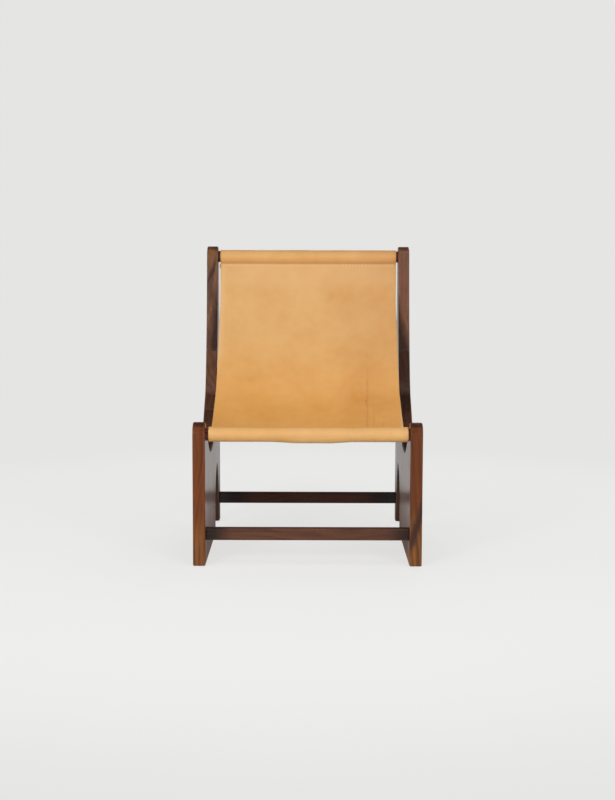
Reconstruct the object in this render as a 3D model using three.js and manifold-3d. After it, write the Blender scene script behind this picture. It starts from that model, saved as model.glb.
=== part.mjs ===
// A sling lounge chair. Two solid walnut sides, each glued up from boards, are tied
// together by two round rods and two stretchers, and one piece of saddle leather
// hangs between the rods by a stitched sleeve at each end.
// Units are millimetres. X runs across the chair, the front faces -Y and Z is up.
// The origin is on the floor under the middle of the chair.
// Left and right are the sitter's, so the left side stands at +X.

import * as THREE from 'three';
import { mergeVertices } from 'three/addons/utils/BufferGeometryUtils.js';
import Module from 'manifold-3d';

const wasm = await Module();
wasm.setup();

// Overall sizes
const chairWidth = 640;
const chairDepth = 680;
const chairHeight = 888;

// Clearances
const fitGap = 0.3; // between a piece and the seat that it sits in
const glueLine = 0.3; // between two boards of a side
const overrun = 1; // how far a cutter passes the face that it opens

// Sides: heights are above the floor and distances are back from the chair's front
const sideThickness = 35;
const sideRound = 4; // round-over along every edge
const boardCount = 6; // boards in a side, glued edge to edge
const backBoardWidth = 120; // the others share the rest of the depth
const frontNoseRadius = 34; // wood round the centre of the front rod
const backNoseRadius = 32;
const frontNoseHeight = 403;
const rampAngle = THREE.MathUtils.degToRad(35); // slope of the edge behind the front nose
const rampHandleLength = 115;
const valleyDepth = 280; // lowest point of the top edge
const valleyHeight = 285;
const valleyFrontLength = 95;
const valleyBackLength = 115;
const kneeDepth = 495; // where the edge turns up into the back post
const kneeHeight = 426;
const kneeAngle = THREE.MathUtils.degToRad(36.5);
const kneeFrontLength = 150;
const kneeBackLength = 60;
const postLean = THREE.MathUtils.degToRad(6); // lean of the post's front edge at the top
const postHandleLength = 195;

// Arch under the back of each side
const baseLength = 443; // the front base, along the floor
const archSpringHeight = 110; // top of the base's upright back edge
const archSpringLength = 45;
const archPeakDepth = 90; // from the back edge of the base to the peak
const archPeakHeight = 210;
const archPeakLength = 35;
const footDepth = 34; // the back foot, along the floor
const footLean = THREE.MathUtils.degToRad(27.7);
const footHandleLength = 90;

// Rods
const rodDiameter = 36;
const rodChamfer = 1.5;
const socketDepth = 12; // how far a rod or a tenon enters a side
const rodSides = 36;

// Stretchers
const stretcherHeight = 33;
const stretcherDepth = 30;
const stretcherRound = 3;
const frontStretcherBottom = 72.5; // above the floor
const backStretcherBottom = 65.5;
const frontStretcherInsetDepth = 12; // from the chair's front
const backStretcherInsetDepth = 32; // from the chair's back
const tenonShoulder = 4; // step round each stub tenon

// Fixings: a bolt through each side into a threaded insert, under a walnut plug
const boltDiameter = 8;
const boltLength = 28; // under the head
const boltHeadDiameter = 15;
const boltHeadHeight = 6;
const hexKeyWidth = 5; // across the flats of the key socket
const hexDepth = 3.5;
const boltSinkDepth = 13; // depth of the bolt head's seat below the outer face
const insertDiameter = 12;
const insertLength = 20;
const insertWall = 1.7;
const insertSinkDepth = 0.5; // below the end of the rod or tenon
const plugDiameter = 20;
const fixingSides = 16;

// Glides under the feet
const glideDiameter = 24;
const glideThickness = 2;
const glideChamfer = 0.8;
const stemDiameter = 6;
const stemLength = 12;
const glideInsetDepth = 40; // from each end of the front base

// Leather sling
const leatherWidth = 557; // lying flat
const leatherThickness = 2.6;
const seamLength = 26; // from a rod's centre to the stitched seam of its sleeve
const hemLength = 14; // leather left behind each seam
const seatDrop = THREE.MathUtils.degToRad(20); // below level, where it leaves the front rod
const seatHandleLength = 48;
const waistDepth = 371; // where the seat turns up into the back
const waistHeight = 462;
const waistAngle = THREE.MathUtils.degToRad(45);
const waistFrontLength = 80;
const waistBackLength = 185;
const backLean = THREE.MathUtils.degToRad(29); // from upright, where it meets the back rod
const backHandleLength = 205;
const middleSagDepth = 25; // further hang of the middle below the edges
const sagPeakShare = 0.34; // where the middle hangs lowest, along the sling
const slingStations = 22;
const slingColumns = 8;
const sleeveSteps = 18;

// Worked out from the sizes above
const sideOuter = chairWidth / 2;
const sideInner = sideOuter - sideThickness;
const rodRadius = rodDiameter / 2;
const rodEnd = sideInner + socketDepth - fitGap;
const boltSeat = sideOuter - boltSinkDepth;
const frontRod = new THREE.Vector2(frontNoseRadius, frontNoseHeight - frontNoseRadius);
const backRod = new THREE.Vector2(chairDepth - backNoseRadius, chairHeight - backNoseRadius);
const frontStretcher = new THREE.Vector2(
  frontStretcherInsetDepth + stretcherDepth / 2,
  frontStretcherBottom + stretcherHeight / 2,
);
const backStretcher = new THREE.Vector2(
  chairDepth - backStretcherInsetDepth - stretcherDepth / 2,
  backStretcherBottom + stretcherHeight / 2,
);
const footFront = chairDepth - footDepth;
const glidePlaces = [glideInsetDepth, baseLength - glideInsetDepth, chairDepth - footDepth / 2];

const walnut = { color: 0x6a3b23, roughness: 0.42, metalness: 0 };
const walnutSides = new THREE.MeshStandardMaterial(walnut);
const walnutRods = new THREE.MeshStandardMaterial({ ...walnut, color: 0x43261a });
const leather = new THREE.MeshStandardMaterial({ color: 0xd99a5b, roughness: 0.6, metalness: 0 });
const zincSteel = new THREE.MeshStandardMaterial({ color: 0x9a9a98, roughness: 0.35, metalness: 1 });
const brass = new THREE.MeshStandardMaterial({ color: 0xb08d4f, roughness: 0.4, metalness: 1 });
const nylon = new THREE.MeshStandardMaterial({ color: 0x2a2420, roughness: 0.7, metalness: 0 });

// A side view is drawn with distance from the front across and height up. This matrix
// stands such a drawing up in the chair, with its thickness along X.
const standUp = new THREE.Matrix4()
  .makeBasis(new THREE.Vector3(0, 1, 0), new THREE.Vector3(0, 0, 1), new THREE.Vector3(1, 0, 0))
  .setPosition(0, -chairDepth / 2, 0);

const chair = new THREE.Group();

function addPiece(name, geometry, material) {
  const mesh = new THREE.Mesh(geometry, material);
  mesh.name = name;
  chair.add(mesh);
  return mesh;
}

// Place a piece at a point of the side view
function placeAt(mesh, across, place) {
  mesh.position.set(across, place.x - chairDepth / 2, place.y);
}

function toSolid(geometry) {
  const bare = geometry.clone();
  bare.deleteAttribute('normal');
  bare.deleteAttribute('uv');
  const merged = mergeVertices(bare);
  return new wasm.Manifold(new wasm.Mesh({
    numProp: 3,
    vertProperties: Float32Array.from(merged.attributes.position.array),
    triVerts: Uint32Array.from(merged.index.array),
  }));
}

function toGeometry(solid) {
  const mesh = solid.getMesh();
  const geometry = new THREE.BufferGeometry();
  geometry.setAttribute('position', new THREE.BufferAttribute(mesh.vertProperties, 3));
  geometry.setIndex(new THREE.BufferAttribute(mesh.triVerts, 1));
  geometry.computeVertexNormals();
  return geometry;
}

// A vector of the given length, at an angle from straight back towards straight up
function along(angle, length) {
  return new THREE.Vector2(Math.cos(angle), Math.sin(angle)).multiplyScalar(length);
}

// Cutters that run along X from one place to another
function roundCutter(diameter, from, to, place, sides) {
  const geometry = new THREE.CylinderGeometry(diameter / 2, diameter / 2, to - from, sides);
  geometry.rotateZ(-Math.PI / 2);
  geometry.translate((from + to) / 2, place.x - chairDepth / 2, place.y);
  return toSolid(geometry);
}

function boxCutter(from, to, depth, height, place) {
  const geometry = new THREE.BoxGeometry(to - from, depth, height);
  geometry.translate((from + to) / 2, place.x - chairDepth / 2, place.y);
  return toSolid(geometry);
}

// Outline of a side, from the floor up the front edge, over the top and round the arch
function sideOutline() {
  const rampTurn = Math.PI / 2 - rampAngle;
  const rampStart = frontRod.clone().add(along(rampTurn, frontNoseRadius));
  const rampHandle = rampStart.clone().add(along(-rampAngle, rampHandleLength));
  const knee = new THREE.Vector2(kneeDepth, kneeHeight);
  const kneeBefore = knee.clone().sub(along(kneeAngle, kneeFrontLength));
  const kneeAfter = knee.clone().add(along(kneeAngle, kneeBackLength));
  const postTurn = Math.PI - postLean;
  const postTop = backRod.clone().add(along(postTurn, backNoseRadius));
  const postHandle = postTop.clone().sub(along(Math.PI / 2 - postLean, postHandleLength));
  const peak = new THREE.Vector2(baseLength + archPeakDepth, archPeakHeight);
  const footHandle = along(Math.PI / 2 + footLean, footHandleLength);

  const outline = new THREE.Shape();
  outline.moveTo(0, glideThickness);
  outline.lineTo(0, frontRod.y);
  outline.absarc(frontRod.x, frontRod.y, frontNoseRadius, Math.PI, rampTurn, true);
  outline.bezierCurveTo(
    rampHandle.x, rampHandle.y,
    valleyDepth - valleyFrontLength, valleyHeight,
    valleyDepth, valleyHeight,
  );
  outline.bezierCurveTo(
    valleyDepth + valleyBackLength, valleyHeight,
    kneeBefore.x, kneeBefore.y,
    knee.x, knee.y,
  );
  outline.bezierCurveTo(
    kneeAfter.x, kneeAfter.y,
    postHandle.x, postHandle.y,
    postTop.x, postTop.y,
  );
  outline.absarc(backRod.x, backRod.y, backNoseRadius, postTurn, 0, true);
  outline.lineTo(chairDepth, glideThickness);
  outline.lineTo(footFront, glideThickness);
  outline.bezierCurveTo(
    footFront + footHandle.x, glideThickness + footHandle.y,
    peak.x + archPeakLength, peak.y,
    peak.x, peak.y,
  );
  outline.bezierCurveTo(
    peak.x - archPeakLength, peak.y,
    baseLength, archSpringHeight + archSpringLength,
    baseLength, archSpringHeight,
  );
  outline.lineTo(baseLength, glideThickness);
  outline.lineTo(0, glideThickness);
  return outline;
}

// A whole side with its edges rounded over, standing between two planes across X
function sidePanel(from) {
  const geometry = new THREE.ExtrudeGeometry(sideOutline(), {
    depth: sideThickness - sideRound - sideRound,
    bevelEnabled: true,
    bevelThickness: sideRound,
    bevelSize: sideRound,
    bevelOffset: -sideRound,
    bevelSegments: 2,
    curveSegments: 10,
  });
  geometry.translate(0, 0, from + sideRound);
  geometry.applyMatrix4(standUp);
  return toSolid(geometry);
}

const tenonDepth = stretcherDepth - tenonShoulder - tenonShoulder;
const tenonHeight = stretcherHeight - tenonShoulder - tenonShoulder;

// Sockets, mortises, bolt holes and glide holes of the side whose inner and outer faces
// stand at the given places across X
function sideCuts(inner, outer) {
  const outward = Math.sign(outer - inner);
  const span = (a, b) => [Math.min(a, b), Math.max(a, b)];
  const pocket = span(inner - outward * overrun, inner + outward * socketDepth);
  const cuts = [];
  for (const place of [frontRod, backRod]) {
    cuts.push(roundCutter(rodDiameter + fitGap + fitGap, ...pocket, place, rodSides));
  }
  for (const place of [frontStretcher, backStretcher]) {
    const depth = tenonDepth + fitGap + fitGap;
    const height = tenonHeight + fitGap + fitGap;
    cuts.push(boxCutter(...pocket, depth, height, place));
  }
  const seat = outer - outward * boltSinkDepth;
  for (const place of [frontRod, backRod, frontStretcher, backStretcher]) {
    const hole = span(inner, outer + outward * overrun);
    const recess = span(seat, outer + outward * overrun);
    cuts.push(roundCutter(boltDiameter + fitGap + fitGap, ...hole, place, fixingSides));
    cuts.push(roundCutter(plugDiameter + fitGap + fitGap, ...recess, place, fixingSides));
  }
  for (const distance of glidePlaces) {
    const radius = stemDiameter / 2 + fitGap;
    const depth = stemLength + fitGap + overrun;
    const geometry = new THREE.CylinderGeometry(radius, radius, depth, fixingSides);
    geometry.rotateX(Math.PI / 2);
    const middle = glideThickness - overrun + depth / 2;
    geometry.translate((inner + outer) / 2, distance - chairDepth / 2, middle);
    cuts.push(toSolid(geometry));
  }
  return cuts;
}

// Each side is sawn at its glue lines into upright boards
function addSide(side, outward) {
  const inner = outward * sideInner;
  const outer = outward * sideOuter;
  let panel = sidePanel(Math.min(inner, outer));
  for (const cut of sideCuts(inner, outer)) {
    panel = panel.subtract(cut);
  }
  const last = boardCount - 1;
  const boardWidth = (chairDepth - backBoardWidth) / last;
  for (let index = 0; index <= last; index += 1) {
    const start = index === 0 ? -overrun : index * boardWidth + glueLine / 2;
    const end = index === last ? chairDepth + overrun : (index + 1) * boardWidth - glueLine / 2;
    const middle = new THREE.Vector2((start + end) / 2, chairHeight / 2);
    const slab = boxCutter(
      Math.min(inner, outer) - overrun,
      Math.max(inner, outer) + overrun,
      end - start,
      chairHeight + overrun + overrun,
      middle,
    );
    addPiece(`${side}_side_board_${index + 1}`, toGeometry(panel.intersect(slab)), walnutSides);
  }
}

addSide('left', 1);
addSide('right', -1);

// A turned piece, from a profile of radius and distance along X
function turned(profile, sides) {
  const geometry = new THREE.LatheGeometry(profile.map(([r, x]) => new THREE.Vector2(r, x)), sides);
  geometry.rotateZ(-Math.PI / 2);
  return toSolid(geometry);
}

const insertHole = insertDiameter / 2 + fitGap;
const insertHoleDepth = insertSinkDepth + boltLength;

// Rods, with a blind hole in each end for the insert
function rodSolid() {
  const bottom = rodEnd - insertHoleDepth;
  const end = [
    [0, bottom],
    [insertHole, bottom],
    [insertHole, rodEnd],
    [rodRadius - rodChamfer, rodEnd],
    [rodRadius, rodEnd - rodChamfer],
  ];
  const farEnd = end.map(([r, x]) => [r, -x]);
  return turned([...farEnd, ...end.toReversed()], rodSides);
}

placeAt(addPiece('front_rod', toGeometry(rodSolid()), walnutRods), 0, frontRod);
placeAt(addPiece('back_rod', toGeometry(rodSolid()), walnutRods), 0, backRod);

// Stretchers, with a stub tenon at each end
function stretcherSolid() {
  const straightDepth = stretcherDepth / 2 - stretcherRound;
  const straightHeight = stretcherHeight / 2 - stretcherRound;
  const section = new THREE.Shape();
  section.absarc(straightDepth, straightHeight, stretcherRound, 0, Math.PI / 2);
  section.absarc(-straightDepth, straightHeight, stretcherRound, Math.PI / 2, Math.PI);
  section.absarc(-straightDepth, -straightHeight, stretcherRound, Math.PI, Math.PI * 3 / 2);
  section.absarc(straightDepth, -straightHeight, stretcherRound, Math.PI * 3 / 2, Math.PI * 2);
  const length = sideInner + sideInner;
  const bar = new THREE.ExtrudeGeometry(section, {
    depth: length,
    bevelEnabled: false,
    curveSegments: 3,
  });
  bar.translate(0, 0, -sideInner);
  bar.applyMatrix4(standUp);
  bar.translate(0, chairDepth / 2, 0);
  const tenon = toSolid(new THREE.BoxGeometry(rodEnd + rodEnd, tenonDepth, tenonHeight));
  let solid = toSolid(bar).add(tenon);
  for (const outward of [1, -1]) {
    const hole = new THREE.CylinderGeometry(insertHole, insertHole, insertHoleDepth + overrun, fixingSides);
    hole.rotateZ(-Math.PI / 2);
    hole.translate(outward * (rodEnd - (insertHoleDepth - overrun) / 2), 0, 0);
    solid = solid.subtract(toSolid(hole));
  }
  return solid;
}

placeAt(addPiece('front_stretcher', toGeometry(stretcherSolid()), walnutRods), 0, frontStretcher);
placeAt(addPiece('back_stretcher', toGeometry(stretcherSolid()), walnutRods), 0, backStretcher);

// Flanged bolt, drawn with its seat at zero and its head outward
function boltSolid() {
  const radius = boltDiameter / 2;
  const headRadius = boltHeadDiameter / 2;
  const crown = boltHeadHeight / 2;
  const profile = [
    [0, -boltLength],
    [radius, -boltLength],
    [radius, 0],
    [headRadius, 0],
    [headRadius, crown / 2],
    [headRadius - crown, boltHeadHeight],
    [0, boltHeadHeight],
  ];
  const hexRadius = hexKeyWidth / Math.sqrt(3);
  const hex = new THREE.CylinderGeometry(hexRadius, hexRadius, hexDepth + overrun, 6);
  hex.rotateZ(-Math.PI / 2);
  hex.translate(boltHeadHeight - (hexDepth - overrun) / 2, 0, 0);
  return turned(profile, fixingSides).subtract(toSolid(hex));
}

// Threaded insert, drawn with its outer end at zero
function insertSolid() {
  const radius = insertDiameter / 2;
  const bore = radius - insertWall;
  const profile = [
    [bore, -insertLength],
    [radius, -insertLength],
    [radius, 0],
    [bore, 0],
    [bore, -insertLength],
  ];
  return turned(profile, fixingSides);
}

// Walnut plug over a bolt, drawn with its outer face at zero
const plugThickness = boltSinkDepth - boltHeadHeight - fitGap;

function plugSolid() {
  const radius = plugDiameter / 2;
  return turned([[0, -plugThickness], [radius, -plugThickness], [radius, 0], [0, 0]], fixingSides);
}

const fixings = [
  ['front_rod', frontRod],
  ['back_rod', backRod],
  ['front_stretcher', frontStretcher],
  ['back_stretcher', backStretcher],
];
for (const [side, outward] of [['left', 1], ['right', -1]]) {
  for (const [joint, place] of fixings) {
    const pieces = [
      addPiece(`${side}_${joint}_bolt`, toGeometry(boltSolid()), zincSteel),
      addPiece(`${side}_${joint}_insert`, toGeometry(insertSolid()), brass),
      addPiece(`${side}_${joint}_plug`, toGeometry(plugSolid()), walnutSides),
    ];
    const reaches = [boltSeat, rodEnd - insertSinkDepth, sideOuter];
    pieces.forEach((piece, index) => {
      placeAt(piece, outward * reaches[index], place);
      piece.rotation.z = outward > 0 ? 0 : Math.PI;
    });
  }
}

// Nylon glide with a stem, drawn upright with its sole at zero
function glideGeometry() {
  const radius = glideDiameter / 2;
  const stemRadius = stemDiameter / 2;
  const top = glideThickness - fitGap;
  const profile = [
    [0, 0],
    [radius - glideChamfer, 0],
    [radius, glideChamfer],
    [radius, top],
    [stemRadius, top],
    [stemRadius, top + stemLength],
    [0, top + stemLength],
  ];
  const points = profile.map(([r, z]) => new THREE.Vector2(r, z));
  const geometry = new THREE.LatheGeometry(points, fixingSides);
  geometry.rotateX(Math.PI / 2);
  return toGeometry(toSolid(geometry));
}

for (const [side, outward] of [['left', 1], ['right', -1]]) {
  glidePlaces.forEach((distance, index) => {
    const glide = addPiece(`${side}_glide_${index + 1}`, glideGeometry(), nylon);
    const across = outward * (sideInner + sideOuter) / 2;
    placeAt(glide, across, new THREE.Vector2(distance, 0));
  });
}

// The sling's middle surface runs from the seam behind the front rod to the seam under
// the back rod. It hangs lower towards the middle of its width, which draws its edges in.
const frontLead = along(-seatDrop, 1);
const backLead = along(-Math.PI / 2 - backLean, 1);
const frontSeam = frontRod.clone().addScaledVector(frontLead, seamLength);
const backSeam = backRod.clone().addScaledVector(backLead, seamLength);
const waist = new THREE.Vector2(waistDepth, waistHeight);
const slingCurve = new THREE.CurvePath();
slingCurve.add(new THREE.CubicBezierCurve(
  frontSeam,
  frontSeam.clone().addScaledVector(frontLead, seatHandleLength),
  waist.clone().sub(along(waistAngle, waistFrontLength)),
  waist,
));
slingCurve.add(new THREE.CubicBezierCurve(
  waist,
  waist.clone().add(along(waistAngle, waistBackLength)),
  backSeam.clone().addScaledVector(backLead, backHandleLength),
  backSeam,
));
const hemShare = hemLength / slingCurve.getLength();
const sagPower = Math.log(1 / 2) / Math.log(sagPeakShare);

// A point of the sling: its distance back, its height, and the share of the width by which
// it is drawn in
function slingPoint(share, lift, sagShare) {
  const tangent = slingCurve.getTangent(share);
  const up = new THREE.Vector2(-tangent.y, tangent.x);
  const hang = middleSagDepth * Math.sin(Math.PI * share ** sagPower);
  const point = slingCurve.getPoint(share).addScaledVector(up, lift - hang * sagShare);
  const drawnShare = 8 / 3 * (hang / leatherWidth) ** 2;
  return new THREE.Vector3(point.x, point.y, drawnShare);
}

function roundPoint(centre, angle, radius) {
  const point = along(angle, radius).add(centre);
  return new THREE.Vector3(point.x, point.y, 0);
}

// The outer line of a sleeve, tangent to the rolled leather from one point to another
function sleeveArc(centre, from, to) {
  const radius = rodRadius + fitGap + leatherThickness;
  const fromRod = (point) => new THREE.Vector2(point.x, point.y).sub(centre);
  const slack = (point) => Math.acos(radius / fromRod(point).length());
  const start = fromRod(from).angle() + slack(from);
  let end = fromRod(to).angle() - slack(to);
  while (end < start) {
    end += Math.PI * 2;
  }
  const points = [];
  for (let step = 0; step <= sleeveSteps; step += 1) {
    points.push(roundPoint(centre, start + (end - start) * step / sleeveSteps, radius));
  }
  return points;
}

// Section of the sling, counterclockwise: the underside with its hems, the back sleeve,
// the top side and the front sleeve
function slingSection(sagShare) {
  const above = leatherThickness / 2;
  const below = -above;
  const hem = below - leatherThickness;
  const under = [
    slingPoint(0, hem, sagShare),
    slingPoint(hemShare, hem, sagShare),
    slingPoint(hemShare, below, sagShare),
  ];
  const over = [];
  const run = 1 - hemShare - hemShare;
  for (let station = 1; station < slingStations; station += 1) {
    const share = station / slingStations;
    under.push(slingPoint(hemShare + share * run, below, sagShare));
    over.push(slingPoint(1 - share, above, sagShare));
  }
  under.push(
    slingPoint(1 - hemShare, below, sagShare),
    slingPoint(1 - hemShare, hem, sagShare),
    slingPoint(1, hem, sagShare),
  );
  const backTop = slingPoint(1, above, sagShare);
  const frontTop = slingPoint(0, above, sagShare);
  return [
    ...under,
    ...sleeveArc(backRod, under.at(-1), backTop),
    backTop,
    ...over,
    frontTop,
    ...sleeveArc(frontRod, frontTop, under[0]),
  ];
}

// A rod's bore through its sleeve, clockwise, with its flats clear of the rod
function sleeveBore(centre) {
  const sides = 2 * sleeveSteps;
  const radius = (rodRadius + fitGap) / Math.cos(Math.PI / sides);
  const points = [];
  for (let step = 0; step < sides; step += 1) {
    points.push(roundPoint(centre, -step / sides * Math.PI * 2, radius));
  }
  return points;
}

function slingGeometry() {
  const positions = [];
  const triangles = [];
  const leatherHalf = leatherWidth / 2;

  // Add one closed line of points across the sling and return the number of its first
  const addLine = (points, across) => {
    const first = positions.length / 3;
    for (const point of points) {
      positions.push(across * (1 - point.z), point.x - chairDepth / 2, point.y);
    }
    return first;
  };
  const addWall = (first, second, count) => {
    for (let step = 0; step < count; step += 1) {
      const next = (step + 1) % count;
      triangles.push(first + step, first + next, second + next);
      triangles.push(first + step, second + next, second + step);
    }
  };

  const columns = [];
  for (let column = 0; column <= slingColumns; column += 1) {
    const share = 2 * column / slingColumns - 1;
    const section = slingSection(1 - share * share);
    columns.push(addLine(section, leatherHalf * share));
  }
  const edge = slingSection(0);
  for (let column = 0; column < slingColumns; column += 1) {
    addWall(columns[column], columns[column + 1], edge.length);
  }
  const bores = [sleeveBore(frontRod), sleeveBore(backRod)];
  const rightBores = bores.map((bore) => addLine(bore, -leatherHalf));
  const leftBores = bores.map((bore) => addLine(bore, leatherHalf));
  bores.forEach((bore, index) => addWall(rightBores[index], leftBores[index], bore.length));

  const boreLength = bores[0].length;
  const cap = THREE.ShapeUtils.triangulateShape(edge, bores);
  const place = (index, outer, firsts) => {
    if (index < edge.length) {
      return outer + index;
    }
    const beyond = index - edge.length;
    return firsts[Math.floor(beyond / boreLength)] + beyond % boreLength;
  };
  for (const [a, b, c] of cap) {
    const left = [a, b, c].map((index) => place(index, columns.at(-1), leftBores));
    const right = [c, b, a].map((index) => place(index, columns[0], rightBores));
    triangles.push(...left, ...right);
  }

  const geometry = new THREE.BufferGeometry();
  geometry.setAttribute('position', new THREE.Float32BufferAttribute(positions, 3));
  geometry.setIndex(triangles);
  geometry.computeVertexNormals();
  return geometry;
}

addPiece('leather_sling', slingGeometry(), leather);

export default chair;
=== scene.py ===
import math

import bmesh
import bpy
from mathutils import Euler, Matrix, Vector, noise


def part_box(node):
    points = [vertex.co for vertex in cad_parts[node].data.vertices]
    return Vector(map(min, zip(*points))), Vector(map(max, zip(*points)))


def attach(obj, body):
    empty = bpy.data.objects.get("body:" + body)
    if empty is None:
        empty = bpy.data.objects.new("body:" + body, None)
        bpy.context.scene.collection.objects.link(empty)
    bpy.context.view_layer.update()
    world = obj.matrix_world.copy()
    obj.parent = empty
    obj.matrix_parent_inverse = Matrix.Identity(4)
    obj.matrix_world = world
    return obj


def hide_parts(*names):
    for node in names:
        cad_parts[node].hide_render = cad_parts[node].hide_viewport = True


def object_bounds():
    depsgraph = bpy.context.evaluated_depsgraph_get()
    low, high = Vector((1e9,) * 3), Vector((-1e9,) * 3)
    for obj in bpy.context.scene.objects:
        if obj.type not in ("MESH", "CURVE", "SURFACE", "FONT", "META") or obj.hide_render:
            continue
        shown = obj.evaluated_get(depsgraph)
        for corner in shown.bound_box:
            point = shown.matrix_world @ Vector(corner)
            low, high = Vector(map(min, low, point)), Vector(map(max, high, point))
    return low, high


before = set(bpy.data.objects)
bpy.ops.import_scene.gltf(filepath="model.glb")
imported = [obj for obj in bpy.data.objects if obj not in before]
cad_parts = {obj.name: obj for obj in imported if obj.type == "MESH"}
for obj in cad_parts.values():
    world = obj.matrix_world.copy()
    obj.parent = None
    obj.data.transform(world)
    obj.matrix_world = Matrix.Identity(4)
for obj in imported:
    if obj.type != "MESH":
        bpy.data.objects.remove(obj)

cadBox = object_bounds()
scene = bpy.context.scene
mm = 0.001
quarter = math.pi / 2

# The side view is drawn in millimetres, with distance back from the chair's front
# across and height above the floor up. inChair turns a place there into metres.
chairDepth = (cadBox[1][1] - cadBox[0][1]) / mm


def inChair(across, distance, height):
    return Vector((across, distance - chairDepth / 2, height)) * mm


def middleOf(node):
    low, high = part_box(node)
    middle = (low + high) / 2 / mm
    return Vector((middle.y + chairDepth / 2, middle.z))


sideOuter = cadBox[1][0] / mm
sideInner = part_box("left_side_board_1")[0].x / mm
frontRod = middleOf("front_rod")
backRod = middleOf("back_rod")
frontStretcher = middleOf("front_stretcher")
backStretcher = middleOf("back_stretcher")


# Camera

cameraSettings = {
    "focalPixels": 1420.0,
    "imageHeight": 800.0,
    "sensor": 36.0,
    "place": (0.0, -4.2349, 0.9058),
    "pitchDegrees": 6.389,
    "rollDegrees": 0.154,
    "shiftPixels": -0.3,
}


def makeCamera(settings):
    data = bpy.data.cameras.new("camera")
    data.sensor_width = settings["sensor"]
    data.lens = settings["sensor"] * settings["focalPixels"] / settings["imageHeight"]
    data.shift_x = settings["shiftPixels"] / settings["imageHeight"]
    camera = bpy.data.objects.new("camera", data)
    pitch = Matrix.Rotation(quarter - math.radians(settings["pitchDegrees"]), 4, "X")
    roll = Matrix.Rotation(math.radians(settings["rollDegrees"]), 4, "Z")
    camera.matrix_world = Matrix.Translation(settings["place"]) @ pitch @ roll
    scene.collection.objects.link(camera)
    scene.camera = camera


makeCamera(cameraSettings)
print("camera placed")


# Short ways to add shader nodes

def addNode(tree, kind, options=None, inputs=None):
    node = tree.nodes.new(kind)
    node.location = (len(tree.nodes) * 190, 0)
    for label, value in (options or {}).items():
        setattr(node, label, value)
    for label, value in (inputs or {}).items():
        if isinstance(value, bpy.types.NodeSocket):
            tree.links.new(value, node.inputs[label])
        else:
            node.inputs[label].default_value = value
    return node


def mathNode(tree, operation, *values):
    node = addNode(tree, "ShaderNodeMath", {"operation": operation}, dict(enumerate(values)))
    return node.outputs[0]


def times(tree, first, second):
    return mathNode(tree, "MULTIPLY", first, second)


def timesPlus(tree, value, factor, added):
    return mathNode(tree, "MULTIPLY_ADD", value, factor, added)


def minus(tree, first, second):
    return mathNode(tree, "SUBTRACT", first, second)


def dotProduct(tree, vector, direction):
    options = {"operation": "DOT_PRODUCT"}
    return addNode(tree, "ShaderNodeVectorMath", options, {0: vector, 1: direction}).outputs["Value"]


def splitVector(tree, vector):
    return addNode(tree, "ShaderNodeSeparateXYZ", None, {0: vector}).outputs


def objectPlace(tree):
    return addNode(tree, "ShaderNodeTexCoord").outputs["Object"]


def attribute(tree, name, output="Fac"):
    return addNode(tree, "ShaderNodeAttribute", {"attribute_name": name}).outputs[output]


def bumpNode(tree, height, distance):
    inputs = {"Strength": 1.0, "Distance": distance, "Height": height}
    return addNode(tree, "ShaderNodeBump", None, inputs).outputs[0]


def feed(tree, node, values):
    for label, value in values.items():
        tree.links.new(value, node.inputs[label])


def mixColour(tree, share, first, second, blend="MIX"):
    options = {"data_type": "RGBA", "blend_type": blend}
    return addNode(tree, "ShaderNodeMix", options, {0: share, 6: first, 7: second}).outputs[2]


# 0 at the first place and past it, 1 from the second place on, smooth between them
def softStep(tree, value, first, second):
    options = {"interpolation_type": "SMOOTHSTEP"}
    inputs = {"Value": value, "From Min": first, "From Max": second}
    return addNode(tree, "ShaderNodeMapRange", options, inputs).outputs["Result"]


# The product of several soft steps, each given as its value and two places
def softSteps(tree, *steps):
    product = softStep(tree, *steps[0])
    for step in steps[1:]:
        product = times(tree, product, softStep(tree, *step))
    return product


# Noise whose patches are about the given size in metres, and longer along stretch
def noiseNode(tree, vector, size, stretch=(1, 1, 1), detail=2.0):
    scaled = addNode(tree, "ShaderNodeMapping", {"vector_type": "POINT"}, {
        "Vector": vector,
        "Scale": [1 / size / factor for factor in stretch],
    }).outputs[0]
    inputs = {"Vector": scaled, "Scale": 1.0, "Detail": detail}
    return addNode(tree, "ShaderNodeTexNoise", None, inputs).outputs["Fac"]


def newGroup(name, inputs, outputs):
    group = bpy.data.node_groups.new(name, "ShaderNodeTree")
    kinds = {"vector": "NodeSocketVector", "colour": "NodeSocketColor", "value": "NodeSocketFloat"}
    for direction, sockets in (("INPUT", inputs), ("OUTPUT", outputs)):
        for label, kind in sockets.items():
            group.interface.new_socket(name=label, in_out=direction, socket_type=kinds[kind])
    start = addNode(group, "NodeGroupInput").outputs
    return group, start, addNode(group, "NodeGroupOutput")


def useGroup(tree, group, inputs):
    return addNode(tree, "ShaderNodeGroup", {"node_tree": group}, inputs).outputs


def newMaterial(name, roughness=0.5, specular=0.5, metallic=0.0):
    material = bpy.data.materials.new(name)
    material.use_nodes = True
    shader = material.node_tree.nodes["Principled BSDF"]
    shader.inputs["Roughness"].default_value = roughness
    shader.inputs["Specular IOR Level"].default_value = specular
    shader.inputs["Metallic"].default_value = metallic
    return material, material.node_tree, shader


def hexColour(text):
    parts = [int(text[index:index + 2], 16) / 255 for index in (0, 2, 4)]
    return [((part + 0.055) / 1.055) ** 2.4 for part in parts] + [1.0]


def shaded(colour, factor):
    return [part * factor for part in colour[:3]] + [1.0]


# Walnut: soft rings round a heart, streaks, fibre and pores, and darker end grain where
# a face cuts across the fibres

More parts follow.
